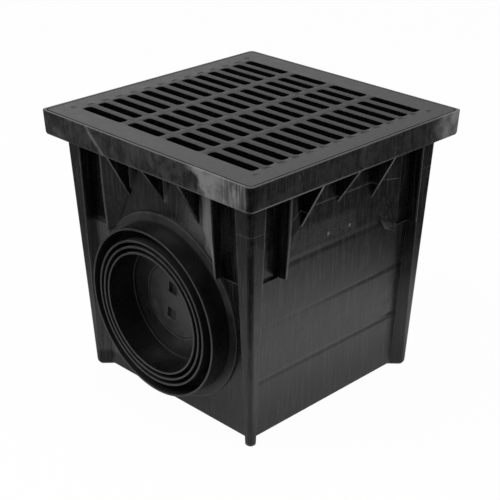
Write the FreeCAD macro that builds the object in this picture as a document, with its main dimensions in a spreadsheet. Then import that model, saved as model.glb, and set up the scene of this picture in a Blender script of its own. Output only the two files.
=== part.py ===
"""Square drainage catch basin with a slotted grate and two stepped pipe outlet adapters.

Millimetres. +Z is up and the origin is under the middle of the basin, on the ground.
The outlets are in the -Y and +Y sides. "Drop" is always a depth below the top of the rim.
"""
import FreeCAD
import Part
import Sketcher

import math
import os

SIZES = {
    # Rim: an upstanding lip round the grate, a seat that carries it and a skirt below the seat
    "overall_height": 326.0,
    "rim_width": 334.0,
    "rim_height": 28.0,
    "rim_draft": 1.2,
    "rim_corner_radius": 5.5,
    "rim_edge_height": 2.2,
    "rim_edge_inset": 0.8,
    "lip_thickness": 3.0,
    "seat_depth": 22.0,
    "seat_thickness": 3.0,
    # Bucket wall: a tapered square with a small ledge near the top and three shallow grooves below it
    "bucket_width": 266.8,
    "wall_taper": 0.0395,
    "ledge_drop": 65.0,
    "ledge_step": 1.0,
    "upper_groove_drop": 115.0,
    "upper_groove_height": 12.0,
    "upper_groove_depth": 0.5,
    "middle_groove_drop": 181.0,
    "middle_groove_height": 11.0,
    "middle_groove_depth": 0.4,
    "lower_groove_drop": 249.0,
    "lower_groove_height": 9.0,
    "lower_groove_depth": 0.3,
    "floor_thickness": 4.0,
    # Inside of the bucket
    "sump_width": 249.6,
    "sump_width_drop": 127.0,
    "sump_taper": 0.033,
    "sump_corner_radius": 18.0,
    # Corner posts, which stand a little below the floor as feet
    "post_top_width": 297.8,
    "post_foot_width": 269.2,
    "post_top_edge": 126.0,
    "post_foot_edge": 126.5,
    "post_nose_radius": 5.5,
    "post_depth": 22.0,
    "post_top_slant": 0.04,
    "post_foot_slant": 0.8,
    "foot_height": 3.0,
    "foot_round": 5.5,
    # Ramped fins and gussets that brace the rim, and the pockets between fins and posts
    "fin_offset": 88.5,
    "fin_thickness": 2.5,
    "fin_flank_slope": 0.12,
    "fin_foot_drop": 132.0,
    "fin_foot_setback": 2.0,
    "fin_foot_width": 3.0,
    "pocket_wall": 3.0,
    "gusset_pitch": 57.0,
    "gusset_thickness": 3.0,
    "side_gusset_drop": 84.0,
    "middle_gusset_drop": 72.0,
    # Outlet sides: a flat tilted panel, square to the outlet axis, with a hole for the adapter's collar
    "outlet_drop": 199.0,
    "outlet_tilt": 2.4,
    "outlet_reach": 128.8,
    "outlet_panel_width": 240.0,
    "outlet_hole_radius": 101.5,
    "flange_clearance": 0.5,
    "flange_relief_depth": 20.0,
    # Outlet adapter: flange, four pipe rings, closed cup, and a collar with snap lugs behind the flange
    "adapter_spin": 9.0,
    "flange_radius": 110.5,
    "flange_thickness": 3.0,
    "ring_length": 26.6,
    "outer_ring_length": 25.6,
    "ring_wall": 2.0,
    "first_ring_radius": 71.7,
    "second_ring_radius": 78.7,
    "third_ring_radius": 85.5,
    "outer_ring_radius": 99.0,
    "cup_depth": 11.5,
    "cup_floor": 3.0,
    "cup_shelf_width": 2.0,
    "cup_shelf_height": 3.0,
    "groove_radius": 44.5,
    "groove_width": 3.0,
    "groove_depth": 1.0,
    "hub_thickness": 7.5,
    "collar_clearance": 0.3,
    "collar_length": 11.0,
    "collar_wall": 3.0,
    "lug_reach": 1.6,
    "lug_width": 16.0,
    "lug_height": 2.5,
    "recess_size": 14.5,
    "recess_depth": 5.0,
    "recess_offset": 17.2,
    "recess_drop": 2.5,
    "recess_shift": 5.0,
    # Grate: deck with rows of slots, deep bars and a rim wall round the edge
    "grate_clearance": 1.5,
    "grate_height": 22.0,
    "grate_corner_radius": 5.0,
    "grate_deck": 6.0,
    "grate_edge_wall": 4.0,
    "slot_pitch": 21.2,
    "slot_width": 12.6,
    "slot_corner_radius": 4.0,
    "cross_bar_width": 10.4,
    "inner_slot_length": 52.6,
    "outer_slot_length": 67.0,
    "edge_groove_width": 14.0,
}
SLOT_ROWS = 13
LUGS = 6
SIDES = 4
OUTLETS = 2
# How far one feature of a moulding runs into the next, so that they join as one solid
OVERLAP = 1.0
# Rounding of a foot: share of its height, and how far the nose is set in there as a share of that height
FOOT_ROUNDING = ((0.0, 0.62), (0.25, 0.27), (0.6, 0.06), (1.0, 0.0))


class Length:
    """A length with the sheet formula that gives it, so that a sketch can be drawn and bound at once."""

    def __init__(self, value, formula):
        self.value = value
        self.formula = formula

    def joined(self, sign, other, value):
        return Length(value, f"({self.formula} {sign} {as_length(other).formula})")

    def __add__(self, other):
        return self.joined("+", other, self.value + as_length(other).value)

    def __sub__(self, other):
        return self.joined("-", other, self.value - as_length(other).value)

    def __mul__(self, other):
        return self.joined("*", other, self.value * as_length(other).value)

    def __truediv__(self, other):
        return self.joined("/", other, self.value / as_length(other).value)

    def __neg__(self):
        return Length(-self.value, f"(0 - {self.formula})")


def as_length(number):
    return number if isinstance(number, Length) else Length(float(number), repr(float(number)))


def size(name):
    return Length(SIZES[name], f"Sizes.{name}")


def make_sheet(doc):
    sheet = doc.addObject("Spreadsheet::Sheet", "Sizes")
    for row, (name, value) in enumerate(SIZES.items(), start=1):
        sheet.set(f"A{row}", name)
        sheet.set(f"B{row}", str(value))
        sheet.setAlias(f"B{row}", name)
    doc.recompute()


def origin_feature(body, role):
    return next(feature for feature in body.Origin.OriginFeatures if feature.Role == role)


def new_sketch(body, name, plane, offset):
    """A sketch on one of the body's own planes, moved along the plane's normal."""
    sketch = body.newObject("Sketcher::SketchObject", name)
    sketch.AttachmentSupport = [(origin_feature(body, plane), "")]
    sketch.MapMode = "FlatFace"
    sketch.setExpression("AttachmentOffset.Base.z", as_length(offset).formula)
    return sketch


def tangent_points(before, corner, after, radius):
    """Where a round of the given radius leaves the two edges of a corner, and the round's centre."""
    towards = [FreeCAD.Vector(*point, 0) - FreeCAD.Vector(*corner, 0) for point in (before, after)]
    for vector in towards:
        vector.normalize()
    half_angle = towards[0].getAngle(towards[1]) / 2
    at = FreeCAD.Vector(*corner, 0)
    ends = [at + vector * (radius / math.tan(half_angle)) for vector in towards]
    middle = towards[0] + towards[1]
    middle.normalize()
    return ends[0], ends[1], at + middle * (radius / math.sin(half_angle))


def add_outline(sketch, corners):
    """One closed outline. A corner is (x, y), or (x, y, radius) where it is rounded."""
    points = [(as_length(corner[0]), as_length(corner[1])) for corner in corners]
    spots = [(x.value, y.value) for x, y in points]
    radii = [as_length(corner[2]) if len(corner) > 2 else None for corner in corners]
    count = len(corners)
    rounds = {}
    for index, radius in enumerate(radii):
        if radius:
            rounds[index] = tangent_points(
                spots[index - 1], spots[index], spots[(index + 1) % count], radius.value)

    def leaving(index):
        return rounds[index][1] if index in rounds else FreeCAD.Vector(*spots[index], 0)

    def reaching(index):
        return rounds[index][0] if index in rounds else FreeCAD.Vector(*spots[index], 0)

    Constraint = Sketcher.Constraint
    lines = [
        sketch.addGeometry(Part.LineSegment(leaving(index), reaching((index + 1) % count)))
        for index in range(count)
    ]
    for index, (x, y) in enumerate(points):
        line_in, line_out = lines[index - 1], lines[index]
        if index in rounds:
            start, end, centre = rounds[index]
            middle = centre + (FreeCAD.Vector(*spots[index], 0) - centre).normalize() * radii[index].value
            arc = sketch.addGeometry(Part.Arc(start, middle, end))
            first, last = sorted(
                (1, 2), key=lambda end: sketch.getPoint(arc, end).distanceToPoint(start))
            anchor = sketch.addGeometry(Part.Point(FreeCAD.Vector(*spots[index], 0)), True)
            sketch.addConstraint([
                Constraint("Tangent", line_in, 2, arc, first),
                Constraint("Tangent", arc, last, line_out, 1),
                Constraint("PointOnObject", anchor, 1, line_in),
                Constraint("PointOnObject", anchor, 1, line_out),
            ])
            bind(sketch, Constraint("Radius", arc, radii[index].value), radii[index])
            place = (anchor, 1)
        else:
            sketch.addConstraint(Constraint("Coincident", line_in, 2, line_out, 1))
            place = (line_out, 1)
        bind(sketch, Constraint("DistanceX", -1, 1, *place, x.value), x)
        bind(sketch, Constraint("DistanceY", -1, 1, *place, y.value), y)


def bind(sketch, constraint, length):
    index = sketch.addConstraint(constraint)
    sketch.setExpression(f"Constraints[{index}]", length.formula)


def rectangle(half_x, half_y, radius=None, centre_x=0.0):
    """Corners of a rectangle that is centred on the X axis."""
    middle = as_length(centre_x)
    corners = [(middle - half_x, -half_y), (middle + half_x, -half_y),
               (middle + half_x, half_y), (middle - half_x, half_y)]
    return [(x, y, radius) if radius else (x, y) for x, y in corners]


def plan_sketch(body, name, height, corners):
    sketch = new_sketch(body, name, "XY_Plane", height)
    add_outline(sketch, corners)
    return sketch


def add_loft(body, name, sections, subtract=False):
    """A loft with straight sides through plan outlines, given as (height, corners)."""
    sketches = [plan_sketch(body, f"{name}_{index}", height, corners)
                for index, (height, corners) in enumerate(sections)]
    loft = body.newObject("PartDesign::SubtractiveLoft" if subtract else "PartDesign::AdditiveLoft", name)
    loft.Profile = sketches[0]
    loft.Sections = sketches[1:]
    loft.Ruled = True
    return loft


def add_extrusion(body, kind, sketch, name, length, reverse=False):
    feature = body.newObject(f"PartDesign::{kind}", name)
    feature.Profile = sketch
    feature.setExpression("Length", as_length(length).formula)
    feature.Reversed = reverse
    return feature


def add_polar_pattern(body, name, originals, count):
    pattern = body.newObject("PartDesign::PolarPattern", name)
    pattern.Originals = originals
    pattern.Axis = (origin_feature(body, "Z_Axis"), [""])
    pattern.Angle = 360.0
    pattern.Occurrences = count
    body.Tip = pattern
    return pattern


def height_at(drop):
    return size("overall_height") - drop


def bracing_top():
    """Posts, fins and gussets run up into the seat of the rim."""
    return height_at(size("seat_depth") + size("seat_thickness")) + OVERLAP


def post_half_width(height):
    rise = (size("post_top_width") - size("post_foot_width")) / 2
    return size("post_foot_width") / 2 + rise * height / bracing_top()


def sump_half_width(drop):
    return size("sump_width") / 2 - size("sump_taper") * (as_length(drop) - size("sump_width_drop"))


def wall_half_width(drop):
    """Half width of the bucket outside, below the ledge."""
    return size("bucket_width") / 2 - size("wall_taper") * (drop - size("ledge_drop") - size("ledge_step"))


def wall_sections():
    """Height and half width of the bucket wall at each break of its slope, from the rim down."""
    ledge = size("ledge_drop")
    top_drop = height_at(bracing_top())
    upper_half = size("bucket_width") / 2 - size("ledge_step")
    levels = [(top_drop, upper_half + size("wall_taper") * (ledge - top_drop)), (ledge, upper_half),
              (ledge + size("ledge_step"), wall_half_width(ledge + size("ledge_step")))]
    for groove in ("upper_groove", "middle_groove", "lower_groove"):
        start = size(f"{groove}_drop")
        middle = start + size(f"{groove}_height") / 2
        end = start + size(f"{groove}_height")
        levels += [(start, wall_half_width(start)),
                   (middle, wall_half_width(middle) - size(f"{groove}_depth")),
                   (end, wall_half_width(end))]
    bottom_drop = height_at(size("foot_height"))
    levels.append((bottom_drop, wall_half_width(bottom_drop)))
    return [(height_at(drop), half) for drop, half in levels]


def add_rim(body):
    half = size("rim_width") / 2
    radius = size("rim_corner_radius")
    foot_half = half - size("rim_draft")
    edge_half = foot_half - size("rim_edge_inset")
    foot = height_at(size("rim_height"))
    add_loft(body, "rim", [
        (foot, rectangle(edge_half, edge_half, radius)),
        (foot + size("rim_edge_height"), rectangle(foot_half, foot_half, radius)),
        (size("overall_height"), rectangle(half, half, radius)),
    ])
    inside = foot_half - size("lip_thickness")
    sketch = plan_sketch(body, "skirt_inside", foot, rectangle(inside, inside))
    add_extrusion(body, "Pocket", sketch, "skirt_hollow",
                  size("rim_height") - size("seat_depth") - size("seat_thickness"), reverse=True)


def post_edge_at(height):
    """How far the inner edge of a post lies from the middle of the side."""
    return size("post_foot_edge") + (size("post_top_edge") - size("post_foot_edge")) * height / bracing_top()


def post_outline(height, slant, inset):
    """Plan of a post: its flanks lean by the slant, and its nose is set in where the foot is rounded."""
    full_nose = post_half_width(height)
    nose = full_nose - inset
    radius = size("post_nose_radius") - inset / 2
    edge = post_edge_at(height)
    inner = full_nose - size("post_depth")
    root = edge - slant * size("post_depth")
    return [(nose, edge), (nose, nose, radius), (edge, nose), (root, inner), (inner, root)]


def post_sections():
    """Outlines of a post from its rounded foot, past the foot of the pockets, up to the seat."""
    foot_round = size("foot_round")
    sections = []
    for share, inset in FOOT_ROUNDING:
        height = foot_round * share
        sections.append((height, post_outline(height, size("post_foot_slant"), foot_round * inset)))
    for height in (height_at(size("fin_foot_drop")), bracing_top()):
        sections.append((height, post_outline(height, size("post_top_slant"), as_length(0.0))))
    return sections


def fin_tip():
    """How far the outer edge of a fin's ramp lies from the middle of the side."""
    return size("fin_offset") - size("fin_thickness") / 2


def fin_outline(drop, ramp_foot, wall, setback, side):
    """Plan of a fin on the +X side: a ramp from the wall, and the space as far as the post for the pocket."""
    height = height_at(drop)
    nose = post_half_width(height) - setback
    root = sump_half_width(drop) + OVERLAP
    post = post_edge_at(height) + OVERLAP
    corners = [(root, ramp_foot), (wall - OVERLAP, ramp_foot), (nose, fin_tip()), (nose, post), (root, post)]
    return [(x, y * side) for x, y in corners]


def fin_sections(side):
    """Outlines of a fin from its narrow foot, past the foot of the gussets, up to the seat."""
    foot_drop = size("fin_foot_drop")
    gusset_drop = size("side_gusset_drop")
    top_drop = height_at(bracing_top())
    top_wall = size("bucket_width") / 2 - size("ledge_step")
    none = as_length(0.0)
    narrow = fin_tip() - size("fin_foot_width")
    wide = size("gusset_pitch")
    return [
        (height_at(foot_drop),
         fin_outline(foot_drop, narrow, wall_half_width(foot_drop), size("fin_foot_setback"), side)),
        (height_at(gusset_drop), fin_outline(gusset_drop, wide, wall_half_width(gusset_drop), none, side)),
        (bracing_top(), fin_outline(top_drop, wide, top_wall, none, side)),
    ]


def pocket_outline(height, drop, side):
    floor = sump_half_width(drop) + size("pocket_wall")
    mouth = post_half_width(height) + OVERLAP
    tip = size("fin_offset") + size("fin_thickness") / 2
    slope = size("fin_flank_slope")
    post = post_edge_at(height)
    corners = [(mouth, tip - slope * OVERLAP), (mouth, post), (floor, post),
               (floor, tip + slope * (mouth - OVERLAP - floor))]
    return [(x, y * side) for x, y in corners]


def add_gusset(body, name, offset, drop):
    """A triangular plate square to the +X side, from the skirt down to a tip on the wall."""
    skirt = size("rim_width") / 2 - size("rim_draft") - size("lip_thickness") + OVERLAP
    root = sump_half_width(drop) + OVERLAP
    tip = wall_half_width(drop)
    sketch = new_sketch(body, f"{name}_outline", "XZ_Plane", -offset - size("gusset_thickness") / 2)
    add_outline(sketch, [
        (root, bracing_top()), (skirt, bracing_top()), (skirt, height_at(size("rim_height"))),
        (tip, height_at(drop)), (root, height_at(drop)),
    ])
    return add_extrusion(body, "Pad", sketch, name, size("gusset_thickness"))


def add_bracing(body):
    """Posts, fins and gussets of one side and corner, repeated round the basin."""
    features = [add_loft(body, "post", post_sections())]
    for name, side in (("right_fin", 1.0), ("left_fin", -1.0)):
        features.append(add_loft(body, name, fin_sections(side)))
    side_drop = size("side_gusset_drop")
    features.append(add_gusset(body, "middle_gusset", as_length(0.0), size("middle_gusset_drop")))
    features.append(add_gusset(body, "right_gusset", size("gusset_pitch"), side_drop))
    features.append(add_gusset(body, "left_gusset", -size("gusset_pitch"), side_drop))
    add_polar_pattern(body, "bracing", features, SIDES)


def add_pockets(body):
    seat = height_at(size("seat_depth") + size("seat_thickness"))
    foot_drop = size("fin_foot_drop") + OVERLAP
    pockets = []
    for name, side in (("right_pocket", 1.0), ("left_pocket", -1.0)):
        pockets.append(add_loft(body, name, [
            (height_at(foot_drop), pocket_outline(height_at(foot_drop), foot_drop, side)),
            (seat, pocket_outline(seat, height_at(seat), side)),
        ], subtract=True))
    add_polar_pattern(body, "pockets", pockets, SIDES)


def outlet_sketch(body, name):
    """A sketch on the tilted plane of the outlet panel on the -Y side, centred on the outlet axis."""
    sketch = new_sketch(body, name, "XZ_Plane", size("outlet_reach"))
    sketch.setExpression("AttachmentOffset.Base.y", height_at(size("outlet_drop")).formula)
    sketch.setExpression("AttachmentOffset.Rotation.Angle", size("outlet_tilt").formula)
    sketch.AttachmentOffset = FreeCAD.Placement(
        FreeCAD.Vector(), FreeCAD.Rotation(FreeCAD.Vector(1, 0, 0), SIZES["outlet_tilt"]))
    return sketch


def outlet_circle(body, name, radius):
    sketch = outlet_sketch(body, name)
    circle = sketch.addGeometry(Part.Circle(FreeCAD.Vector(), FreeCAD.Vector(0, 0, 1), radius.value))
    sketch.addConstraint(Sketcher.Constraint("Coincident", circle, 3, -1, 1))
    bind(sketch, Sketcher.Constraint("Radius", circle, radius.value), radius)
    return sketch


def add_flange_relief(body):
    """Cuts the fins' ramps back to the panel round the adapter's flange."""
    sketch = outlet_circle(body, "flange_relief_outline", size("flange_radius") + size("flange_clearance"))
    return add_extrusion(body, "Pocket", sketch, "flange_relief", size("flange_relief_depth"), reverse=True)


def outlet_wall_depth():
    """Twice the wall on the outlet axis, which reaches from the panel through the wall all round."""
    wall = size("outlet_reach") - sump_half_width(size("outlet_drop"))
    return wall + wall


def add_outlet_panels(body):
    """Flat faces of the two outlet sides, from the foot of the wall up to the rim."""
    half = size("outlet_panel_width") / 2
    below = size("foot_height") - height_at(size("outlet_drop"))
    above = bracing_top() - height_at(size("outlet_drop"))
    sketch = outlet_sketch(body, "outlet_panel_outline")
    add_outline(sketch, [(-half, below), (half, below), (half, above), (-half, above)])
    panel = add_extrusion(body, "Pad", sketch, "outlet_panel", outlet_wall_depth(), reverse=True)
    add_polar_pattern(body, "outlet_panels", [panel], OUTLETS)


def add_sump(body):
    """The open inside, from the floor up through the seat, and the recess for the grate."""
    floor = size("foot_height") + size("floor_thickness")
    radius = size("sump_corner_radius")
    levels = [(floor, sump_half_width(height_at(floor))),
              (bracing_top() + size("seat_thickness"), sump_half_width(size("seat_depth") - OVERLAP))]
    sections = [(height, rectangle(half, half, radius)) for height, half in levels]
    add_loft(body, "sump", sections, subtract=True)
    half = size("rim_width") / 2 - size("lip_thickness")
    sketch = plan_sketch(body, "seat_outline", height_at(size("seat_depth")),
                         rectangle(half, half, size("grate_corner_radius") + size("grate_clearance")))
    add_extrusion(body, "Pocket", sketch, "grate_seat", size("seat_depth"), reverse=True)


def make_basin(doc):
    body = doc.addObject("PartDesign::Body", "basin")
    add_rim(body)
    add_loft(body, "wall", [(height, rectangle(half, half)) for height, half in wall_sections()])
    add_outlet_panels(body)
    add_bracing(body)
    add_pockets(body)
    add_sump(body)
    sketch = outlet_circle(body, "outlet_hole_outline", size("outlet_hole_radius"))
    hole = add_extrusion(body, "Pocket", sketch, "outlet_hole", outlet_wall_depth())
    add_polar_pattern(body, "outlet_openings", [hole, add_flange_relief(body)], OUTLETS)
    return body


def ring_corners(radius, base, tip):
    half_wall = size("ring_wall") / 2
    inside, outside = radius - half_wall, radius + half_wall
    return [(inside, base), (inside, tip), (outside, tip), (outside, base)]


def adapter_profile():
    """Half section of the adapter: radius, and height along the outlet axis from the back of the flange."""
    front = size("flange_thickness")
    tip = front + size("ring_length")
    cup = front - size("cup_depth")
    back = cup - size("cup_floor")
    hub_back = cup - size("hub_thickness")
    cup_inside = size("first_ring_radius") - size("ring_wall") / 2
    cup_outside = size("first_ring_radius") + size("ring_wall") / 2
    shelf = cup_inside - size("cup_shelf_width")
    groove_in = size("groove_radius") - size("groove_width") / 2
    groove_out = size("groove_radius") + size("groove_width") / 2
    collar_outside = size("outlet_hole_radius") - size("collar_clearance")
    collar_inside = collar_outside - size("collar_wall")
    collar_end = -size("collar_length")
    profile = [
        (0.0, hub_back), (0.0, cup),
        (groove_in, cup), (groove_in, cup - size("groove_depth")),
        (groove_out, cup - size("groove_depth")), (groove_out, cup),
        (shelf, cup), (shelf, cup + size("cup_shelf_height")), (cup_inside, cup + size("cup_shelf_height")),
        (cup_inside, tip), (cup_outside, tip), (cup_outside, front),
    ]
    profile += ring_corners(size("second_ring_radius"), front, tip)
    profile += ring_corners(size("third_ring_radius"), front, tip)
    profile += ring_corners(size("outer_ring_radius"), front, front + size("outer_ring_length"))
    profile += [
        (size("flange_radius"), front), (size("flange_radius"), 0.0),
        (collar_outside, 0.0), (collar_outside, collar_end),
        (collar_inside, collar_end), (collar_inside, 0.0),
        (cup_outside, 0.0), (cup_outside, back), (groove_out + size("cup_floor"), back),
        (groove_out + size("cup_floor"), hub_back),
    ]
    return profile


def add_lugs(body):
    """Snap lugs round the end of the collar, behind the basin's wall."""
    collar = size("outlet_hole_radius") - size("collar_clearance")
    half = size("lug_width") / 2
    sketch = plan_sketch(body, "lug_outline", -size("collar_length"), [
        (collar - size("collar_wall") + OVERLAP, -half), (collar + size("lug_reach"), -half),
        (collar + size("lug_reach"), half), (collar - size("collar_wall") + OVERLAP, half)])
    lug = add_extrusion(body, "Pad", sketch, "lug", size("lug_height"))
    add_polar_pattern(body, "lugs", [lug], LUGS)


def add_recesses(body):
    """Two finger recesses in the cup's floor, deep at one end and ramped up to the floor at the other."""
    cup = size("flange_thickness") - size("cup_depth")
    half = size("recess_size") / 2
    deep_end = -size("recess_shift") - half
    shallow_end = half - size("recess_shift")
    for name, side in (("upper_recess", 1.0), ("lower_recess", -1.0)):
        centre = size("recess_offset") * side - size("recess_drop")
        sketch = new_sketch(body, f"{name}_outline", "XZ_Plane", half - centre)
        add_outline(sketch, [(deep_end, cup), (deep_end, cup - size("recess_depth")), (shallow_end, cup)])
        add_extrusion(body, "Pocket", sketch, name, size("recess_size"))


def make_adapter(doc, name, turn):
    """An adapter on the outlet panel of the -Y side, turned about the basin's upright axis."""
    body = doc.addObject("PartDesign::Body", name)
    sketch = new_sketch(body, "half_section", "XZ_Plane", 0.0)
    add_outline(sketch, adapter_profile())
    turned = body.newObject("PartDesign::Revolution", "turned_form")
    turned.Profile = sketch
    turned.ReferenceAxis = (sketch, ["V_Axis"])
    turned.Angle = 360.0
    add_lugs(body)
    add_recesses(body)
    reach = size("outlet_reach") * (-math.cos(math.radians(turn)))
    roll = size("outlet_tilt") + 90.0
    body.setExpression("Placement", (
        f"placement(vector(0; {reach.formula}; {height_at(size('outlet_drop')).formula});"
        f" rotation({turn}; 0; {roll.formula}) * rotation(-{size('adapter_spin').formula}; 0; 0))"))
    return body


def add_slots(body):
    """One row of four slots, repeated across the grate."""
    half = size("slot_width") / 2
    first_row = size("slot_pitch") * ((1 - SLOT_ROWS) / 2)
    inner_half = size("inner_slot_length") / 2
    outer_half = size("outer_slot_length") / 2
    inner = size("cross_bar_width") / 2 + inner_half
    outer = inner + inner_half + size("cross_bar_width") + outer_half
    sketch = new_sketch(body, "slot_row", "XY_Plane", 0.0)
    sketch.setExpression("AttachmentOffset.Base.y", first_row.formula)
    for centre, half_length in ((-outer, outer_half), (-inner, inner_half),
                                (inner, inner_half), (outer, outer_half)):
        add_outline(sketch, rectangle(half_length, half, size("slot_corner_radius"), centre))
    slots = add_extrusion(body, "Pocket", sketch, "slots", size("grate_height") + OVERLAP)
    rows = body.newObject("PartDesign::LinearPattern", "slot_rows")
    rows.Originals = [slots]
    rows.Direction = (origin_feature(body, "Y_Axis"), [""])
    rows.setExpression("Length", (size("slot_pitch") * (SLOT_ROWS - 1)).formula)
    rows.Occurrences = SLOT_ROWS
    body.Tip = rows


def make_grate(doc):
    """Modelled with the top of its deck at zero, then set flush with the top of the lip."""
    body = doc.addObject("PartDesign::Body", "grate")
    half = size("rim_width") / 2 - size("lip_thickness") - size("grate_clearance")
    outline = plan_sketch(body, "grate_outline", 0.0, rectangle(half, half, size("grate_corner_radius")))
    add_extrusion(body, "Pad", outline, "grate_block", size("grate_height"), reverse=True)
    outer = half - size("grate_edge_wall")
    inner = outer - size("edge_groove_width")
    groove = plan_sketch(body, "edge_groove_outline", -size("grate_height"), rectangle(outer, outer))
    add_outline(groove, rectangle(inner, inner))
    depth = size("grate_height") - size("grate_deck")
    add_extrusion(body, "Pocket", groove, "edge_groove", depth, reverse=True)
    add_slots(body)
    body.setExpression("Placement.Base.z", size("overall_height").formula)
    return body


def write_parts(doc, bodies):
    failed = [item.Name for item in doc.Objects if {"Invalid", "Error"} & set(item.State)]
    if failed:
        raise RuntimeError(f"features that failed: {failed}")
    for body in bodies:
        if body.Shape.isNull() or not body.Shape.isValid():
            raise RuntimeError(f"{body.Label} has no valid shape")
    os.makedirs("parts", exist_ok=True)
    for body in bodies:
        body.Shape.exportStep(f"parts/{body.Label}.step")


def main():
    doc = FreeCAD.newDocument("catch_basin")
    make_sheet(doc)
    bodies = [
        make_basin(doc),
        make_grate(doc),
        make_adapter(doc, "outlet_adapter_front", 0.0),
        make_adapter(doc, "outlet_adapter_rear", 180.0),
    ]
    doc.recompute()
    write_parts(doc, bodies)


main()
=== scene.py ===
import math

import bpy
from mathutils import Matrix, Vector

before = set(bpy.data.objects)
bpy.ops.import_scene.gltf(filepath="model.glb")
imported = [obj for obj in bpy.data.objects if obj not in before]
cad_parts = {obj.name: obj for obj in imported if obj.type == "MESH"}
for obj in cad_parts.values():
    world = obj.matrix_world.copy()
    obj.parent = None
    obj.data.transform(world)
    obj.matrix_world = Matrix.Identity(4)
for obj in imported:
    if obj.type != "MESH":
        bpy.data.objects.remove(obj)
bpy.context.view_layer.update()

# Lengths are in metres and angles in degrees.
# Tuples other than colours, places and directions hold the numbers of a remap, span, line, smudge or noise.

# Camera
PHOTO_SIZE = 500
FOCAL_PIXELS = 1260.97
SENSOR_WIDTH = 36.0
CAMERA_AZIMUTH = 45.265
CAMERA_ELEVATION = 25.0
CAMERA_DISTANCE = 1.43052
CAMERA_TARGET = (0.034551, -0.037818, 0.1765)
CAMERA_SHIFT = (0.0021, -0.0009)

# Studio floor: its glow is what the object mirrors
FLOOR_SIZE = 16.0
FLOOR_COLOUR = (0.9, 0.9, 0.9, 1.0)
WHITE = (1.0, 1.0, 1.0, 1.0)
FLOOR_LIFT = 0.97
RIGHT_SIDE = (0.7071, 0.7071, 0.0)
FRONT_SIDE = (0.7071, -0.7071, 0.0)
POOL_EDGE = (0.28, 0.55)
POOL_GLOW = (-0.15, 0.05, 0.6, 1.0)
BEYOND_GLOW = (-0.15, 0.05, 0.2, 0.09)
FRONT_GLOW = (0.2, 0.45, 1.0, 0.3)
BASE_GLOW = (0.13, 0.23, 0.6, 1.0)

# Studio walls and lamps
AMBIENT_STRENGTH = 0.45
STUDIO_STRENGTH = 0.3
BACKDROP_STRENGTH = 0.94
BACKDROP_SIDE = (-0.94, 0.342, 0.0)
BACKDROP_WIDTH = (0.58, 0.97)
BACKDROP_HEIGHT = (0.16, 0.64, 0.12)
CEILING_STRENGTH = 0.9
CEILING_HEIGHT = (0.5, 0.8)
LAMP_TARGET = (0.0, 0.0, 0.15)
LAMP_SIZE = 1.2
KEY_PLACE = (-0.9, -1.3, 1.9)
KEY_POWER = 24.0
FILL_PLACE = (1.7, 0.5, 1.6)
FILL_POWER = 14.0

# Moulded skin and edges
GRAIN = (1500.0, 2.0, 0.55)
SWELL = (26.0, 2.0, 0.55)
MOTTLE = (70.0, 6.0, 0.65)
DRAG = (520.0, 3.0, 0.6, (1.0, 1.0, 0.025))
SPECKLE = (900.0, 3.0, 0.7)
SCRATCH = (800.0, 3.0, 0.65, (1.0, 1.0, 0.1))
GRAIN_RELIEF = 0.07
DRAG_RELIEF = 0.12
SKIN_STRENGTH = 0.5
SKIN_DEPTH = 0.0005
EDGE_REACH = 0.0011
EDGE_OPENNESS = (0.95, 0.6)
HOLLOW_REACH = 0.03
HOLLOW_OPENNESS = (0.75, 0.35)
EDGE_SAMPLES = 8

# Black polypropylene
PLASTIC_BLACK = (0.002, 0.002, 0.0022, 1.0)
PLASTIC_WORN = (0.03, 0.03, 0.031, 1.0)
# Paler along the convex edges: partly wear, partly a painted highlight of the rounded edges
PLASTIC_EDGE = (0.075, 0.075, 0.076, 1.0)
# Pale colour of the scuffs and dust, also used for painted sheens and highlights
PLASTIC_SCUFF_AND_SHEEN = (0.19, 0.19, 0.192, 1.0)
MOTTLE_TONE = (0.38, 0.72, 0.0, 0.16)
DRAG_TONE = (0.47, 0.72, 0.0, 0.75)
SPECKLE_TONE = (0.45, 0.7, 0.0, 0.2)
# Painted shade: the greyer tone fades out where the surface lies in a hollow
HOLLOW_PAINTED_SHADE = (0.0, 0.6, 1.0, 0.0)
EDGE_CHAFE_AND_HIGHLIGHT = (0.3, 0.65, 0.45, 1.0)
MOTTLE_ROUGHNESS = (0.3, 0.7, -0.05, 0.06)
SCUFF_AND_PAINTED_LIGHT_ROUGHNESS = 0.3

# Basin: dimensions that its finish follows
SKIRT_FOOT = 0.298
RIM_FACE = 0.162
WALL_FACE = 0.1295
POST_SIDE = 0.126
FIN_SIDE = 0.0868
LEDGE_HEIGHT = 0.2605
SOFT = 0.001

# Basin: its finish, with less edge wear and painted highlight on one fin
BASIN_EDGE_RADIUS = 0.0009
BASIN_ROUGHNESS = 0.26
BASIN_EDGE_WEAR_AND_HIGHLIGHT = 0.8
FAR_FIN_X = (WALL_FACE, WALL_FACE + 2 * SOFT)
FAR_FIN_Y = (0.06, 0.096, 0.002)
FAR_FIN_EASE = -0.7

# Front of the rim: painted reflection as a pale patch with comb marks and a slanted streak; blotches and
# smear
RIM_FOOT = (SKIRT_FOOT - SOFT, SKIRT_FOOT + SOFT)
RIM_FRONT = (-RIM_FACE, -RIM_FACE - 2 * SOFT)
PATCH_LEAN = 0.5
PATCH_RAGGED = 0.05
PATCH_START = (0.264, 0.284)
PATCH_END = (0.157, 0.161, 1.0, 0.0)
PATCH_MOTTLE = (0.32, 0.62, 0.55, 1.1)
COMB_DRAG = (0.35, 0.65)
COMB_START = (0.112, 0.14, 1.0, 0.25)
STREAK_RAGGED = 0.008
STREAK_LINE = (0.243, 0.006)
STREAK_MOTTLE = (0.3, 0.6, 0.25, 0.6)
BLOTCH_MOTTLE = (0.38, 0.7, 0.05, 1.0)
BLOTCH_SPECKLE = (0.35, 0.65, 0.4, 1.0)
BLOTCH_END = (0.148, 0.157, 0.2, 0.0)
SMEAR_PLACE = (-0.14, 0.305)
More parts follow.
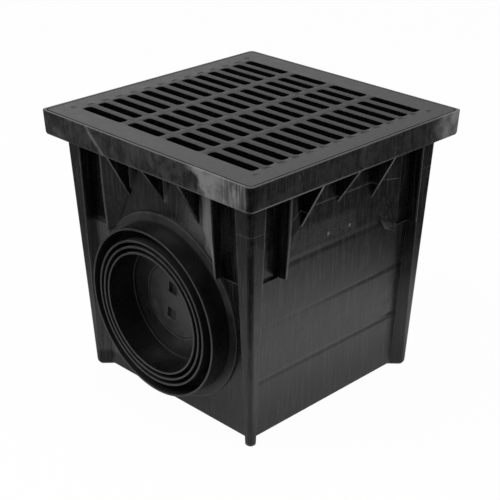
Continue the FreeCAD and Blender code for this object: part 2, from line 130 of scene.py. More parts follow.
SMEAR_REACH = (0.03, 0.012)
SMEAR_MOTTLE = (0.35, 0.65, 0.09, 0.3)

# Right side of the rim: pale far end, ticks and a thin film
RIM_RIGHT = (RIM_FACE, RIM_FACE + 2 * SOFT)
FAR_END = (0.105, 0.15)
FAR_END_MOTTLE = (0.3, 0.65, 0.35, 1.0)
TICK_PLACES = (-0.096, 0.003, 0.057, 0.113)
TICK_REACH = 0.012
TICK_SCRATCH = (0.55, 0.7, 0.0, 0.5)
FILM_START = (-0.158, -0.15)
FILM_MOTTLE = (0.3, 0.7, 0.01, 0.07)

# Right wall: scuffed band, specks and a painted highlight along the ledge
WALL_RIGHT = (0.128, 0.130)
BAND_Y = (-0.064, 0.03, 0.015)
BAND_Z = (0.213, 0.238, 0.005)
BAND_SPECKLE = (0.42, 0.72, 0.0, 0.3)
SPECK_PLACES = ((-0.013, 0.2197), (0.022, 0.219))
SPECK_REACH = (0.0028, 0.0032)
LEDGE_LINE = (LEDGE_HEIGHT, 0.0012)
LEDGE_END = (FIN_SIDE - SOFT, FIN_SIDE, 1.0, 0.0)
LEDGE_DRAG = (0.3, 0.6, 0.1, 0.3)
POST_START = (POST_SIDE, POST_SIDE + SOFT)
MARK_LINE = (LEDGE_HEIGHT, 0.0009)
MARK_SPECKLE = (0.4, 0.6, 0.0, 0.3)

# Front wall: worn ramp, rubbed place, pale flank, and painted highlights along the roots of two gussets with
# painted lightening beside them
WALL_FRONT = (-0.130, -0.134)
WORN_RAMP_START = (0.06, 0.068)
WORN_RAMP_END = (0.0895, 0.0901, 1.0, 0.0)
WORN_RAMP_Z = (0.2, 0.3, 0.02)
WORN_RAMP_DRAG = (0.3, 0.7, 0.6, 1.1)
WORN_RAMP_SPECKLE = (0.3, 0.65, 0.5, 1.1)
RUB_PLACE = (0.062, 0.246)
RUB_REACH = (0.045, 0.04)
RUB_SPECKLE = (0.35, 0.65, 0.15, 0.7)
RUB_Y = (-0.135, -0.126, 0.0005)
FLANK_X = (-0.127, -0.1, 0.002)
FLANK_Y = (-0.112, -0.116)
FLANK_Z = (0.02, 0.196, 0.004)
FLANK_DRAG = (0.3, 0.7, 0.15, 0.4)
WORN_GUSSETS = (-0.057, 0.0)
GUSSET_HALF = 0.0015
ROOT_HIGHLIGHT_SPAN = (0.0005, 0.0016, 0.0002)
ROOT_HIGHLIGHT_STRENGTH = 0.75
ROOT_SHEEN_START = (0.0003, 0.0005)
ROOT_SHEEN_END = (0.003, 0.011, 0.16, 0.0)
GUSSET_Z = (0.254, 0.297, 0.002)

# Fins and posts: places of their edges, and the strength of their painted highlight at the two ends of each
# side
FIN_LAND = (FIN_SIDE, 0.0902, 0.0003)
POST_EDGE = (POST_SIDE, 0.1272, 0.0003)
POST_FACE = (0.1321, 0.1331)
POST_LEAN = 0.0475
BRACING_HIGHLIGHT_MOTTLE = (0.3, 0.65, 0.6, 1.0)
SIDE_MIDDLE = (-0.01, 0.01)
PLAIN_FIN_HIGHLIGHT = (0.3, 0.0)
PLAIN_POST_HIGHLIGHT = (0.15, 0.35)
OUTLET_FIN_HIGHLIGHT = (0.3, 0.3)
OUTLET_POST_HIGHLIGHT = (0.3, 0.1)

# Ramps of the fins
RAMP_FOOT = 0.194
RAMP_SHOULDER = 0.242
RAMP_START = 0.057
RAMP_FOOT_START = 0.08425
RAMP_TIP = 0.08725
RAMP_END = 0.08735
RAMP_RISE = 0.012
RAMP_SPREAD = 0.05
RAMP_ROOT = 0.001

# Grooves of the plain walls: centre, half height and fill, and a notch in the middle one
WALL_TAPER = 0.0395
GROOVED_FACE = 0.1225
GROOVED_HALF = 0.12
UPPER_GROOVE = (0.205, 0.006, 0.00024)
MIDDLE_GROOVE = (0.1395, 0.0055, 0.0004)
LOWER_GROOVE = (0.0725, 0.0045, -0.0006)
NOTCH_DEPTH = 0.0004
NOTCH_TOP = 0.1
NOTCH_LIP = 0.2
NOTCH_TAIL = 0.9
NOTCH_FADE = (-0.09, 0.05, 0.15, 1.0)

# Grate
GRATE_EDGE_RADIUS = 0.0005
GRATE_EDGE_WEAR_AND_HIGHLIGHT = 0.4
GRATE_ROUGHNESS = 0.18
TOP_ROUGHNESS = 0.16
FIELD_ROUGHNESS = 0.1
TOP_Z = (0.32, 0.323)
TOP_FACING = (0.6, 0.8)
FIELD_X = (0.134, 0.138, 1.0, 0.0)
FIELD_Y = (0.132, 0.134, 1.0, 0.0)
# Share of the pale mottling taken out over the slot field, as painted shade
FIELD_PAINTED_SHADE = 0.8
BAR_PITCH = 0.0212
BAR_HALF = 0.0043
CROSS_PITCH = 0.063
CROSS_HALF = 0.0052
CROSS_LIMIT = 0.0945
CROWN_DEPTH = 2.2
SINK_DEPTH = 10.0
BAR_END_LINE = (0.1397, 0.0048)
BAR_END_WIDTH = (0.0, 0.006)
BAR_END_LIMIT = (0.13, 0.132, 1.0, 0.0)
CORNER_PLACE = (0.145, 0.137)
CORNER_REACH = (0.0045, 0.0045)
GATE_PLACE = (0.0, 0.077)
GATE_REACH = (0.004, 0.004)
GRATE_MOTTLE = (0.43, 0.62, 0.0, 0.13)
GRATE_SPECKLE = (0.48, 0.66, 0.0, 0.13)

# Outlet adapter
OUTLET_HEIGHT = 0.127
ADAPTER_EDGE_RADIUS = 0.0007
ADAPTER_EDGE_WEAR_AND_HIGHLIGHT = 1.0
ADAPTER_ROUGHNESS = 0.3
ADAPTER_TONE = 0.3
ADAPTER_HOLLOW_ROUGHNESS = 0.55
ADAPTER_SPECKLE = (0.62, 0.75, 0.0, 0.04)
DISC_EDGE = (0.066, 0.0685, 1.0, 0.0)
HUB_EDGE = (0.043, 0.045, 1.0, 0.4)
FLANGE_START = (0.1002, 0.101)
FLANGE_SHEEN_HEIGHT = (-0.02, 0.07, 0.3, 1.0)
DUST_AND_SHEEN_MOTTLE = (0.3, 0.7, 0.1, 0.22)

# Sockets of a Mix node that mixes colours
MIX_AMOUNT = 0
MIX_FIRST = 6
MIX_SECOND = 7
MIX_RESULT = 2


def add_node(tree, kind, **settings):
    node = tree.nodes.new(kind)
    for name, value in settings.items():
        setattr(node, name, value)
    return node


def feed(tree, socket, value):
    """Links a socket to another one, or sets its value."""
    if isinstance(value, bpy.types.NodeSocket):
        tree.links.new(value, socket)
    else:
        socket.default_value = value


def math_node(tree, operation, first, second=0.0):
    node = add_node(tree, "ShaderNodeMath", operation=operation)
    feed(tree, node.inputs[0], first)
    feed(tree, node.inputs[1], second)
    return node.outputs["Value"]


def chain(tree, operation, first, others):
    """Joins the first value with each of the others in turn."""
    for other in others:
        first = math_node(tree, operation, first, other)
    return first


def times(tree, first, *others):
    return chain(tree, "MULTIPLY", first, others)


def plus(tree, first, *others):
    return chain(tree, "ADD", first, others)


def strongest(tree, first, *others):
    return chain(tree, "MAXIMUM", first, others)


def weakest(tree, first, *others):
    return chain(tree, "MINIMUM", first, others)


def minus(tree, first, second):
    return math_node(tree, "SUBTRACT", first, second)


def divide(tree, first, second):
    return math_node(tree, "DIVIDE", first, second)


def absolute(tree, value):
    return math_node(tree, "ABSOLUTE", value)


def over(tree, value, limit):
    """One where the value is over the limit."""
    return math_node(tree, "GREATER_THAN", value, limit)


def under(tree, value, limit):
    """One where the value is under the limit."""
    return math_node(tree, "LESS_THAN", value, limit)


def axes(tree, vector):
    """The X, Y and Z of a vector."""
    node = add_node(tree, "ShaderNodeSeparateXYZ")
    tree.links.new(vector, node.inputs["Vector"])
    return [node.outputs[axis] for axis in "XYZ"]


def towards(tree, vector, direction):
    """How far a vector reaches in a direction."""
    node = add_node(tree, "ShaderNodeVectorMath", operation="DOT_PRODUCT")
    feed(tree, node.inputs[0], vector)
    feed(tree, node.inputs[1], direction)
    return node.outputs["Value"]


def new_group(name, inputs, outputs):
    group = bpy.data.node_groups.new(name, "ShaderNodeTree")
    for way, sockets in (("INPUT", inputs), ("OUTPUT", outputs)):
        for socket, kind in sockets:
            group.interface.new_socket(socket, in_out=way, socket_type=kind)
    return group, group.nodes.new("NodeGroupInput"), group.nodes.new("NodeGroupOutput")


def place_group(tree, group, **values):
    node = add_node(tree, "ShaderNodeGroup", node_tree=group)
    for name, value in values.items():
        feed(tree, node.inputs[name.title()], value)
    return node


def noise(tree, vector, scale, detail, roughness, stretch=(1.0, 1.0, 1.0)):
    mapping = add_node(tree, "ShaderNodeMapping")
    mapping.inputs["Scale"].default_value = stretch
    tree.links.new(vector, mapping.inputs["Vector"])
    node = add_node(tree, "ShaderNodeTexNoise")
    node.inputs["Scale"].default_value = scale
    node.inputs["Detail"].default_value = detail
    node.inputs["Roughness"].default_value = roughness
    tree.links.new(mapping.outputs["Vector"], node.inputs["Vector"])
    return node.outputs["Fac"]


def remap(tree, value, low, high, new_low=0.0, new_high=1.0):
    """A soft step from one value to another."""
    node = add_node(tree, "ShaderNodeMapRange", interpolation_type="SMOOTHSTEP")
    for name, number in (("From Min", low), ("From Max", high), ("To Min", new_low), ("To Max", new_high)):
        feed(tree, node.inputs[name], number)
    feed(tree, node.inputs["Value"], value)
    return node.outputs["Result"]


def span(tree, value, low, high, soft):
    """One between low and high, with soft ends."""
    rise = remap(tree, value, low - soft, low + soft)
    fall = remap(tree, value, high - soft, high + soft, 1.0, 0.0)
    return times(tree, rise, fall)


def line(tree, value, centre, half_width):
    """One along a line, zero from half a width away."""
    away = absolute(tree, plus(tree, value, -centre))
    return remap(tree, away, 0.0, half_width, 1.0, 0.0)


def smudge(tree, first, second, place, reach):
    """A soft round mark."""
    return times(tree, line(tree, first, place[0], reach[0]), line(tree, second, place[1], reach[1]))


def from_row(tree, value, pitch):
    """Distance from the nearest of a row of places at whole pitches."""
    return math_node(tree, "PINGPONG", value, pitch / 2)


def mix_colours(tree, amount, first, second):
    node = add_node(tree, "ShaderNodeMix", data_type="RGBA")
    feed(tree, node.inputs[MIX_AMOUNT], amount)
    feed(tree, node.inputs[MIX_FIRST], first)
    feed(tree, node.inputs[MIX_SECOND], second)
    return node.outputs[MIX_RESULT]


def add_bump(tree, height, normal, distance, strength=1.0):
    node = add_node(tree, "ShaderNodeBump")
    node.inputs["Strength"].default_value = strength
    node.inputs["Distance"].default_value = distance
    tree.links.new(height, node.inputs["Height"])
    tree.links.new(normal, node.inputs["Normal"])
    return node.outputs["Normal"]


def make_skin_group():
    """Moulded skin: relief, mottling, the drag lines left by the mould, and speckles."""
    masks = ("Relief", "Mottle", "Drag", "Speckle")
    group, start, end = new_group(
        "moulded_skin",
        [("Vector", "NodeSocketVector")],
        [(name, "NodeSocketFloat") for name in masks],
    )
    vector = start.outputs["Vector"]
    grain = noise(group, vector, *GRAIN)
    swell = noise(group, vector, *SWELL)
    mottle = noise(group, vector, *MOTTLE)
    drag = noise(group, vector, *DRAG)
    speckle = noise(group, vector, *SPECKLE)
    relief = plus(group, times(group, grain, GRAIN_RELIEF), times(group, drag, DRAG_RELIEF), swell)
    for name, value in zip(masks, (relief, mottle, drag, speckle)):
        group.links.new(value, end.inputs[name])
    return group


def make_edge_group():
    """Moulded edges: a small radius, a mask along the outer edges, and one for the hollows."""
    group, start, end = new_group(
        "moulded_edge",
        [("Radius", "NodeSocketFloat")],
        [("Normal", "NodeSocketVector"), ("Edge", "NodeSocketFloat"), ("Hollow", "NodeSocketFloat")],
    )
    bevel = add_node(group, "ShaderNodeBevel", samples=EDGE_SAMPLES)
    group.links.new(start.outputs["Radius"], bevel.inputs["Radius"])
    group.links.new(bevel.outputs["Normal"], end.inputs["Normal"])
    for mask, inside, reach, openness in (("Edge", True, EDGE_REACH, EDGE_OPENNESS),
                                          ("Hollow", False, HOLLOW_REACH, HOLLOW_OPENNESS)):
        nearby = add_node(group, "ShaderNodeAmbientOcclusion", inside=inside, only_local=True)
        nearby.samples = EDGE_SAMPLES
        nearby.inputs["Distance"].default_value = reach
        group.links.new(remap(group, nearby.outputs["AO"], *openness), end.inputs[mask])
    return group


class Plastic:
    """A black moulded plastic, with places where it is worn, scuffed or dented."""

    def __init__(self, name, edge_radius):
        self.material = bpy.data.materials.new(name)
        self.material.use_nodes = True
        self.tree = self.material.node_tree
        self.shader = self.tree.nodes["Principled BSDF"]
        self.vector = add_node(self.tree, "ShaderNodeTexCoord").outputs["Object"]
        self.x, self.y, self.z = axes(self.tree, self.vector)
        skin = place_group(self.tree, skin_group, vector=self.vector)
        self.relief = skin.outputs["Relief"]
        self.mottle = skin.outputs["Mottle"]
        self.drag = skin.outputs["Drag"]
        self.speckle = skin.outputs["Speckle"]
        rounding = place_group(self.tree, edge_group, radius=edge_radius)
        self.normal = rounding.outputs["Normal"]
        self.edge = rounding.outputs["Edge"]
        self.hollow = rounding.outputs["Hollow"]

    def set_colour(self, scuff_and_painted_light, edge_wear_and_highlight, tone_amount):
        """Black, with a greyer tone taken out in the hollows as painted shade, paler along the edges as wear
        and a painted highlight, and palest in the scuffs and painted sheens.
        """
        tree = self.tree
        tone_and_shade = plus(tree, remap(tree, self.mottle, *MOTTLE_TONE), remap(tree, self.drag, *DRAG_TONE),
                    remap(tree, self.speckle, *SPECKLE_TONE))
        # Painted shade: the tone is taken out in the hollows, so recesses stay black
        tone_and_shade = times(tree, tone_and_shade, remap(tree, self.hollow, *HOLLOW_PAINTED_SHADE), tone_amount)
        # Edges: paler from wear and from a painted highlight
        wear_and_highlight = times(tree, self.edge, remap(tree, self.mottle, *EDGE_CHAFE_AND_HIGHLIGHT), edge_wear_and_highlight)
        colour = mix_colours(tree, tone_and_shade, PLASTIC_BLACK, PLASTIC_WORN)
        colour = mix_colours(tree, wear_and_highlight, colour, PLASTIC_EDGE)
        # Palest in the scuffs, and where sheen and highlights are painted
        colour = mix_colours(tree, scuff_and_painted_light, colour, PLASTIC_SCUFF_AND_SHEEN)
        tree.links.new(colour, self.shader.inputs["Base Color"])

    def set_roughness(self, roughness, scuff_and_painted_light, hollow_roughness):
        """Duller in the scuffs and hollows."""
        tree = self.tree
        uneven = remap(tree, self.mottle, *MOTTLE_ROUGHNESS)
        dull = plus(tree, times(tree, scuff_and_painted_light, SCUFF_AND_PAINTED_LIGHT_ROUGHNESS), times(tree, self.hollow, hollow_roughness))
        tree.links.new(plus(tree, uneven, roughness, dull), self.shader.inputs["Roughness"])

    def set_relief(self, dent, fairing):
        """Rounded edges, then the fairing in metres, then the skin with its dents."""
        tree = self.tree
        normal = self.normal
        if fairing is not None:
            normal = add_bump(tree, fairing, normal, 1.0)
        skin = add_bump(tree, minus(tree, self.relief, dent), normal, SKIN_DEPTH, SKIN_STRENGTH)
        tree.links.new(skin, self.shader.inputs["Normal"])

    def finish(self, roughness, scuff_and_painted_light, dent, edge_wear_and_highlight, tone_amount=1.0, hollow_roughness=0.0, fairing=None):
        self.set_colour(scuff_and_painted_light, edge_wear_and_highlight, tone_amount)
        self.set_roughness(roughness, scuff_and_painted_light, hollow_roughness)
        self.set_relief(dent, fairing)
        return self.material


def front_rim_scuffs_and_reflection(plastic):
    """Front of the rim: painted reflections as a ragged patch with comb marks and a slanted streak, and
    blotches and a smear.
    """
    tree = plastic.tree
    # Painted reflection: a pale patch with comb marks near the front corner
    lean = plus(tree, plastic.x, times(tree, plastic.z, PATCH_LEAN),
                times(tree, plastic.mottle, PATCH_RAGGED))
    comb = strongest(tree, remap(tree, plastic.drag, *COMB_DRAG), remap(tree, plastic.x, *COMB_START))
    patch = times(tree, remap(tree, lean, *PATCH_START), remap(tree, plastic.x, *PATCH_END), comb,
                  remap(tree, plastic.mottle, *PATCH_MOTTLE))
    # Painted reflection: a slanted pale streak
    across = plus(tree, plastic.x, plastic.z, times(tree, plastic.mottle, STREAK_RAGGED))
    streak = times(tree, line(tree, across, *STREAK_LINE), remap(tree, plastic.mottle, *STREAK_MOTTLE))
    blotch = times(tree, remap(tree, plastic.mottle, *BLOTCH_MOTTLE), remap(tree, plastic.x, *BLOTCH_END),
                   remap(tree, plastic.speckle, *BLOTCH_SPECKLE))
    smear = times(tree, smudge(tree, plastic.x, plastic.z, SMEAR_PLACE, SMEAR_REACH),
                  remap(tree, plastic.mottle, *SMEAR_MOTTLE))
    found = strongest(tree, patch, streak, blotch, smear)
    return times(tree, found, remap(tree, plastic.y, *RIM_FRONT))


def right_rim_scuffs(plastic):
    """Right side of the rim: a pale far end, ticks and a thin film."""
    tree = plastic.tree
    far_end = times(tree, remap(tree, plastic.y, *FAR_END), remap(tree, plastic.mottle, *FAR_END_MOTTLE))
    ticks = 0.0
    for place in TICK_PLACES:
        ticks = strongest(tree, line(tree, plastic.y, place, TICK_REACH), ticks)
    ticks = times(tree, ticks, remap(tree, noise(tree, plastic.vector, *SCRATCH), *TICK_SCRATCH))
    film = times(tree, remap(tree, plastic.y, *FILM_START), remap(tree, plastic.mottle, *FILM_MOTTLE))
    return times(tree, strongest(tree, far_end, ticks, film), remap(tree, plastic.x, *RIM_RIGHT))


def right_wall_scuffs_and_highlight(plastic):
    """Right wall: a scuffed band, specks, a painted highlight along the ledge, and pale marks on the posts
    at the ledge's height.
    """
    tree = plastic.tree
    side = absolute(tree, plastic.y)
    band = times(tree, span(tree, plastic.y, *BAND_Y), span(tree, plastic.z, *BAND_Z),
                 remap(tree, plastic.speckle, *BAND_SPECKLE))
    specks = 0.0
    for place in SPECK_PLACES:
        specks = strongest(tree, smudge(tree, plastic.y, plastic.z, place, SPECK_REACH), specks)
    # Painted highlight: a pale line along the ledge, where its rounded edge would catch light
    ledge = times(tree, line(tree, plastic.z, *LEDGE_LINE), remap(tree, side, *LEDGE_END),
                  remap(tree, plastic.drag, *LEDGE_DRAG))
    wall = times(tree, strongest(tree, band, specks, ledge), remap(tree, plastic.x, *WALL_RIGHT))
    on_posts = times(tree, remap(tree, plastic.x, *POST_START), remap(tree, side, *POST_START))
    marks = times(tree, line(tree, plastic.z, *MARK_LINE), remap(tree, plastic.speckle, *MARK_SPECKLE))
    return strongest(tree, wall, times(tree, on_posts, marks))


def front_wall_scuffs_and_highlights(plastic):
    """Front wall: a worn ramp, a rubbed place, a pale flank, and beside two gussets a painted highlight
    along the root with painted lightening of the wall next to it.
    """
    tree = plastic.tree
    on_front = remap(tree, plastic.y, *WALL_FRONT)
    ramp = times(tree, remap(tree, plastic.x, *WORN_RAMP_START), remap(tree, plastic.x, *WORN_RAMP_END),
                 span(tree, plastic.z, *WORN_RAMP_Z), on_front)
    ramp = times(tree, ramp, remap(tree, plastic.drag, *WORN_RAMP_DRAG),
                 remap(tree, plastic.speckle, *WORN_RAMP_SPECKLE))
    rub = times(tree, smudge(tree, plastic.x, plastic.z, RUB_PLACE, RUB_REACH),
                span(tree, plastic.y, *RUB_Y), remap(tree, plastic.speckle, *RUB_SPECKLE))
    flank = times(tree, span(tree, plastic.x, *FLANK_X), remap(tree, plastic.y, *FLANK_Y),
                  span(tree, plastic.z, *FLANK_Z), remap(tree, plastic.drag, *FLANK_DRAG))
    root_highlights = 0.0
    # Painted highlight along each gusset root, and painted lightening of the wall beside it
    for gusset in WORN_GUSSETS:
        beside = plus(tree, plastic.x, -gusset - GUSSET_HALF)
        root_highlight = times(tree, span(tree, beside, *ROOT_HIGHLIGHT_SPAN), ROOT_HIGHLIGHT_STRENGTH)
        root_sheen = times(tree, remap(tree, beside, *ROOT_SHEEN_START), remap(tree, beside, *ROOT_SHEEN_END))
        root_highlights = strongest(tree, root_highlight, root_sheen, root_highlights)
    root_highlights = times(tree, root_highlights, span(tree, plastic.z, *GUSSET_Z), on_front)
    return strongest(tree, ramp, rub, flank, root_highlights)


def bracing_edge_highlights(plastic):
    """Painted highlights along the edges of the fins and posts, all round the basin."""
    tree = plastic.tree
    found = 0.0
    for out, along, fin_highlight, post_highlight in ((plastic.x, plastic.y, PLAIN_FIN_HIGHLIGHT, PLAIN_POST_HIGHLIGHT),
                                            (plastic.y, plastic.x, OUTLET_FIN_HIGHLIGHT, OUTLET_POST_HIGHLIGHT)):
        # Painted highlight: pale lines on the fin lands and along the post edges
        reach = plus(tree, absolute(tree, out), times(tree, plastic.z, -POST_LEAN))
        side = absolute(tree, along)
        fins = times(tree, span(tree, side, *FIN_LAND), remap(tree, along, *SIDE_MIDDLE, *fin_highlight))
        posts = times(tree, span(tree, side, *POST_EDGE), remap(tree, along, *SIDE_MIDDLE, *post_highlight))
        edges = times(tree, strongest(tree, fins, posts), remap(tree, reach, *POST_FACE))
        found = strongest(tree, edges, found)
    height = span(tree, plastic.z, RAMP_FOOT, SKIRT_FOOT, 2 * SOFT)
    return times(tree, found, height, remap(tree, plastic.mottle, *BRACING_HIGHLIGHT_MOTTLE))


def ramp_fairing(plastic):
    """Height that eases the ramps of the fins into the wall."""
    tree = plastic.tree
    slant = (RAMP_FOOT_START - RAMP_START) / (RAMP_SHOULDER - RAMP_FOOT)
    below = strongest(tree, minus(tree, RAMP_SHOULDER, plastic.z), 0.0)
    start = plus(tree, times(tree, below, slant), RAMP_START)
    rise = plus(tree, times(tree, plus(tree, plastic.z, -RAMP_FOOT), RAMP_SPREAD), RAMP_RISE)
    on_ramps = times(tree, over(tree, plastic.z, RAMP_FOOT), under(tree, plastic.z, SKIRT_FOOT))
    total = 0.0
    for out, along in ((plastic.x, plastic.y), (plastic.y, plastic.x)):
        side = absolute(tree, along)
        on_side = times(tree, over(tree, absolute(tree, out), WALL_FACE), on_ramps,
                        under(tree, side, RAMP_END))
        share = divide(tree, minus(tree, side, start), minus(tree, RAMP_TIP, start))
        stands = strongest(tree, plus(tree, times(tree, share, rise), -RAMP_ROOT), 0.0)
        total = minus(tree, total, times(tree, stands, on_side))
    return total


def groove_fairing(plastic):
    """Height that softens the upper grooves, sharpens the lower one, and lets the middle one fade."""
    tree = plastic.tree
    reach = plus(tree, absolute(tree, plastic.x), times(tree, plastic.z, -WALL_TAPER))
    on_wall = times(tree, over(tree, reach, GROOVED_FACE),
                    under(tree, absolute(tree, plastic.y), GROOVED_HALF))
    total = 0.0
    for centre, half, fill in (UPPER_GROOVE, MIDDLE_GROOVE, LOWER_GROOVE):
        away = absolute(tree, plus(tree, plastic.z, -centre))
        inside = strongest(tree, minus(tree, 1.0, divide(tree, away, half)), 0.0)
        total = plus(tree, times(tree, inside, fill), total)
    centre, half, _ = MIDDLE_GROOVE
    lip = divide(tree, minus(tree, centre + NOTCH_TOP * half, plastic.z), NOTCH_LIP * half)
    tail = divide(tree, plus(tree, plastic.z, half - centre), NOTCH_TAIL * half)
    notch = strongest(tree, weakest(tree, lip, tail, 1.0), 0.0)
    notch = times(tree, notch, remap(tree, plastic.y, *NOTCH_FADE), NOTCH_DEPTH)
    return times(tree, minus(tree, total, notch), on_wall)


def make_basin_plastic():
    """Basin: scuffed rim and walls with painted reflections and highlights, edges paled by wear and painted
    highlights, and eased ramps and grooves.
    """
    plastic = Plastic("basin_plastic", BASIN_EDGE_RADIUS)
    tree = plastic.tree
    rim = strongest(tree, front_rim_scuffs_and_reflection(plastic), right_rim_scuffs(plastic))
    rim = times(tree, rim, remap(tree, plastic.z, *RIM_FOOT))
    walls = strongest(tree, right_wall_scuffs_and_highlight(plastic), front_wall_scuffs_and_highlights(plastic), bracing_edge_highlights(plastic))
    walls = times(tree, walls, remap(tree, plastic.z, *RIM_FOOT, 1.0, 0.0))
    far_fin = times(tree, remap(tree, plastic.x, *FAR_FIN_X), span(tree, plastic.y, *FAR_FIN_Y))
    edge_wear_and_highlight = plus(tree, times(tree, far_fin, FAR_FIN_EASE), BASIN_EDGE_WEAR_AND_HIGHLIGHT)
    fairing = plus(tree, ramp_fairing(plastic), groove_fairing(plastic))
    return plastic.finish(BASIN_ROUGHNESS, strongest(tree, rim, walls), 0.0, edge_wear_and_highlight, fairing=fairing)


def make_grate_plastic():
    """Grate: crowned bars, and sink marks at their ends, beside the corners and on the middle bar."""
    plastic = Plastic("grate_plastic", GRATE_EDGE_RADIUS)
    tree = plastic.tree
    side_x = absolute(tree, plastic.x)
    side_y = absolute(tree, plastic.y)
    in_field = times(tree, remap(tree, side_x, *FIELD_X), remap(tree, side_y, *FIELD_Y))
    facing = add_node(tree, "ShaderNodeNewGeometry").outputs["True Normal"]
    _, _, upward = axes(tree, facing)
    on_top = times(tree, remap(tree, plastic.z, *TOP_Z), remap(tree, upward, *TOP_FACING))
    from_bar = from_row(tree, plus(tree, plastic.y, BAR_PITCH / 2), BAR_PITCH)
    from_cross = from_row(tree, weakest(tree, side_x, CROSS_LIMIT), CROSS_PITCH)
    crown = weakest(tree, divide(tree, from_bar, BAR_HALF), divide(tree, from_cross, CROSS_HALF), 1.0)
    crown = times(tree, crown, crown, in_field, on_top)
    ends = times(tree, line(tree, side_x, *BAR_END_LINE), line(tree, from_bar, *BAR_END_WIDTH),
                 remap(tree, side_y, *BAR_END_LIMIT))
    corners = smudge(tree, side_x, side_y, CORNER_PLACE, CORNER_REACH)
    gates = smudge(tree, side_x, side_y, GATE_PLACE, GATE_REACH)
    sinks = strongest(tree, ends, corners, gates)
    dent = plus(tree, times(tree, sinks, SINK_DEPTH), times(tree, crown, CROWN_DEPTH))
    scuff_and_painted_light = plus(tree, remap(tree, plastic.mottle, *GRATE_MOTTLE),
                 remap(tree, plastic.speckle, *GRATE_SPECKLE))
    # Painted shade: the pale mottling is mostly taken out over the slot field, which darkens the crowned
    # bars
    scuff_and_painted_light = times(tree, scuff_and_painted_light, minus(tree, 1.0, times(tree, in_field, FIELD_PAINTED_SHADE)), on_top)
    dull = plus(tree, times(tree, in_field, FIELD_ROUGHNESS), TOP_ROUGHNESS)
    roughness = plus(tree, times(tree, dull, on_top), GRATE_ROUGHNESS)
    return plastic.finish(roughness, scuff_and_painted_light, dent, GRATE_EDGE_WEAR_AND_HIGHLIGHT)


def make_adapter_plastic():
    """Outlet adapter: specks, dust on the disc, and a painted sheen on the upper part of the flange."""
    plastic = Plastic("adapter_plastic", ADAPTER_EDGE_RADIUS)
    tree = plastic.tree
    specks = remap(tree, plastic.speckle, *ADAPTER_SPECKLE)
    up = plus(tree, plastic.z, -OUTLET_HEIGHT)
    from_axis = math_node(tree, "SQRT", plus(tree, times(tree, plastic.x, plastic.x), times(tree, up, up)))
    disc = times(tree, remap(tree, from_axis, *DISC_EDGE), remap(tree, from_axis, *HUB_EDGE))
    # Painted sheen: the flange is paler towards its top, where it catches light from above
    flange_sheen = times(tree, remap(tree, from_axis, *FLANGE_START), remap(tree, up, *FLANGE_SHEEN_HEIGHT))
    dust_and_sheen = times(tree, strongest(tree, disc, flange_sheen), remap(tree, plastic.mottle, *DUST_AND_SHEEN_MOTTLE))
    return plastic.finish(ADAPTER_ROUGHNESS, strongest(tree, specks, dust_and_sheen), 0.0, ADAPTER_EDGE_WEAR_AND_HIGHLIGHT,
                          tone_amount=ADAPTER_TONE, hollow_roughness=ADAPTER_HOLLOW_ROUGHNESS)


def mirror_rays(tree, path):
    """One where the studio is seen in the object's gloss."""
    return strongest(tree, path.outputs["Is Glossy Ray"], path.outputs["Is Transmission Ray"])


def floor_glow(tree):
    """A pool of light round the object, dimmer beyond it, in front of it and at its base."""
    place = add_node(tree, "ShaderNodeTexCoord").outputs["Object"]
    away = add_node(tree, "ShaderNodeVectorMath", operation="LENGTH")
    tree.links.new(place, away.inputs[0])
    sideways = towards(tree, place, RIGHT_SIDE)
    near = remap(tree, sideways, *POOL_GLOW)
    far = remap(tree, sideways, *BEYOND_GLOW)
    pool = remap(tree, away.outputs["Value"], *POOL_EDGE, near, far)
    front = remap(tree, towards(tree, place, FRONT_SIDE), *FRONT_GLOW)
    x, y, _ = axes(tree, place)
    base = remap(tree, strongest(tree, absolute(tree, x), absolute(tree, y)), *BASE_GLOW)
    return times(tree, pool, front, base)


def make_floor():
    """Pale floor, which the camera sees white and the object mirrors with its glow."""
    bpy.ops.object.select_all(action="DESELECT")
    bpy.ops.mesh.primitive_plane_add(size=FLOOR_SIZE)
    floor = bpy.context.object
    floor.name = "studio_floor"
    material = bpy.data.materials.new("studio_paper")
    material.use_nodes = True
    tree = material.node_tree
    shader = tree.nodes["Principled BSDF"]
    shader.inputs["Base Color"].default_value = FLOOR_COLOUR
    shader.inputs["Roughness"].default_value = 1.0
    path = add_node(tree, "ShaderNodeLightPath")
    seen = path.outputs["Is Camera Ray"]
    mirrored = mirror_rays(tree, path)
    glow = add_node(tree, "ShaderNodeEmission")
    glow.inputs["Color"].default_value = WHITE
    tree.links.new(strongest(tree, seen, times(tree, mirrored, floor_glow(tree))), glow.inputs["Strength"])
    mix = add_node(tree, "ShaderNodeMixShader")
    tree.links.new(strongest(tree, times(tree, seen, FLOOR_LIFT), mirrored), mix.inputs["Fac"])
    tree.links.new(shader.outputs["BSDF"], mix.inputs[1])
    tree.links.new(glow.outputs["Emission"], mix.inputs[2])
    tree.links.new(mix.outputs["Shader"], tree.nodes["Material Output"].inputs["Surface"])
    floor.data.materials.append(material)


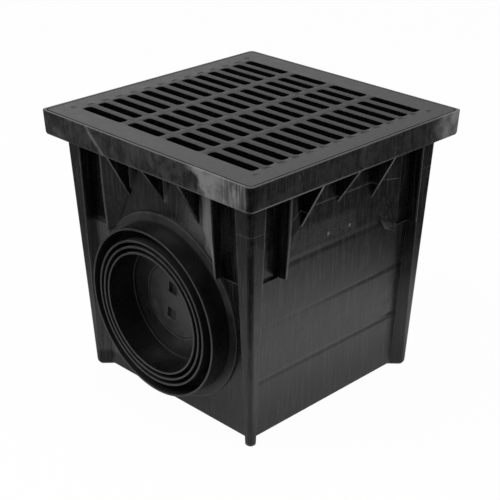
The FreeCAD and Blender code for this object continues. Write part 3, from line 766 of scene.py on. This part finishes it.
def make_world():
    """White backdrop behind the object and a dimmer studio round it."""
    world = bpy.data.worlds.new("studio_world")
    bpy.context.scene.world = world
    world.use_nodes = True
    tree = world.node_tree
    background = tree.nodes["Background"]
    background.inputs["Color"].default_value = WHITE
    direction = add_node(tree, "ShaderNodeTexCoord").outputs["Generated"]
    _, _, upward = axes(tree, direction)
    backdrop = times(tree, remap(tree, towards(tree, direction, BACKDROP_SIDE), *BACKDROP_WIDTH),
                     span(tree, upward, *BACKDROP_HEIGHT))
    behind = remap(tree, backdrop, 0.0, 1.0, STUDIO_STRENGTH, BACKDROP_STRENGTH)
    ceiling = remap(tree, upward, *CEILING_HEIGHT, STUDIO_STRENGTH, CEILING_STRENGTH)
    path = add_node(tree, "ShaderNodeLightPath")
    mirrored = times(tree, mirror_rays(tree, path), strongest(tree, behind, ceiling))
    ambient = times(tree, path.outputs["Is Diffuse Ray"], AMBIENT_STRENGTH)
    strength = strongest(tree, mirrored, path.outputs["Is Camera Ray"], ambient)
    tree.links.new(strength, background.inputs["Strength"])


def add_softbox(name, place, power):
    lamp = bpy.data.lights.new(name, "AREA")
    lamp.shape = "RECTANGLE"
    lamp.size = LAMP_SIZE
    lamp.size_y = LAMP_SIZE
    lamp.energy = power
    box = bpy.data.objects.new(name, lamp)
    bpy.context.scene.collection.objects.link(box)
    box.location = place
    box.rotation_euler = (Vector(place) - Vector(LAMP_TARGET)).to_track_quat("Z", "Y").to_euler()


def make_camera():
    azimuth = math.radians(CAMERA_AZIMUTH)
    elevation = math.radians(CAMERA_ELEVATION)
    back = Vector((
        math.sin(azimuth) * math.cos(elevation),
        -math.cos(azimuth) * math.cos(elevation),
        math.sin(elevation),
    ))
    camera = bpy.data.cameras.new("studio_camera")
    camera.sensor_width = SENSOR_WIDTH
    camera.lens = SENSOR_WIDTH * FOCAL_PIXELS / PHOTO_SIZE
    camera.shift_x, camera.shift_y = CAMERA_SHIFT
    holder = bpy.data.objects.new("studio_camera", camera)
    bpy.context.scene.collection.objects.link(holder)
    holder.location = Vector(CAMERA_TARGET) + back * CAMERA_DISTANCE
    holder.rotation_euler = back.to_track_quat("Z", "Y").to_euler()
    bpy.context.scene.camera = holder


def dress(node, material):
    """Gives a node its only material."""
    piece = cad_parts[node]
    piece.data.materials.clear()
    piece.data.materials.append(material)


skin_group = make_skin_group()
edge_group = make_edge_group()
dress("basin", make_basin_plastic())
dress("grate", make_grate_plastic())
adapter_plastic = make_adapter_plastic()
dress("outlet_adapter_front", adapter_plastic)
dress("outlet_adapter_rear", adapter_plastic)

make_floor()
make_world()
add_softbox("key_softbox", KEY_PLACE, KEY_POWER)
add_softbox("fill_softbox", FILL_PLACE, FILL_POWER)
make_camera()

bpy.context.scene.view_settings.view_transform = "Standard"
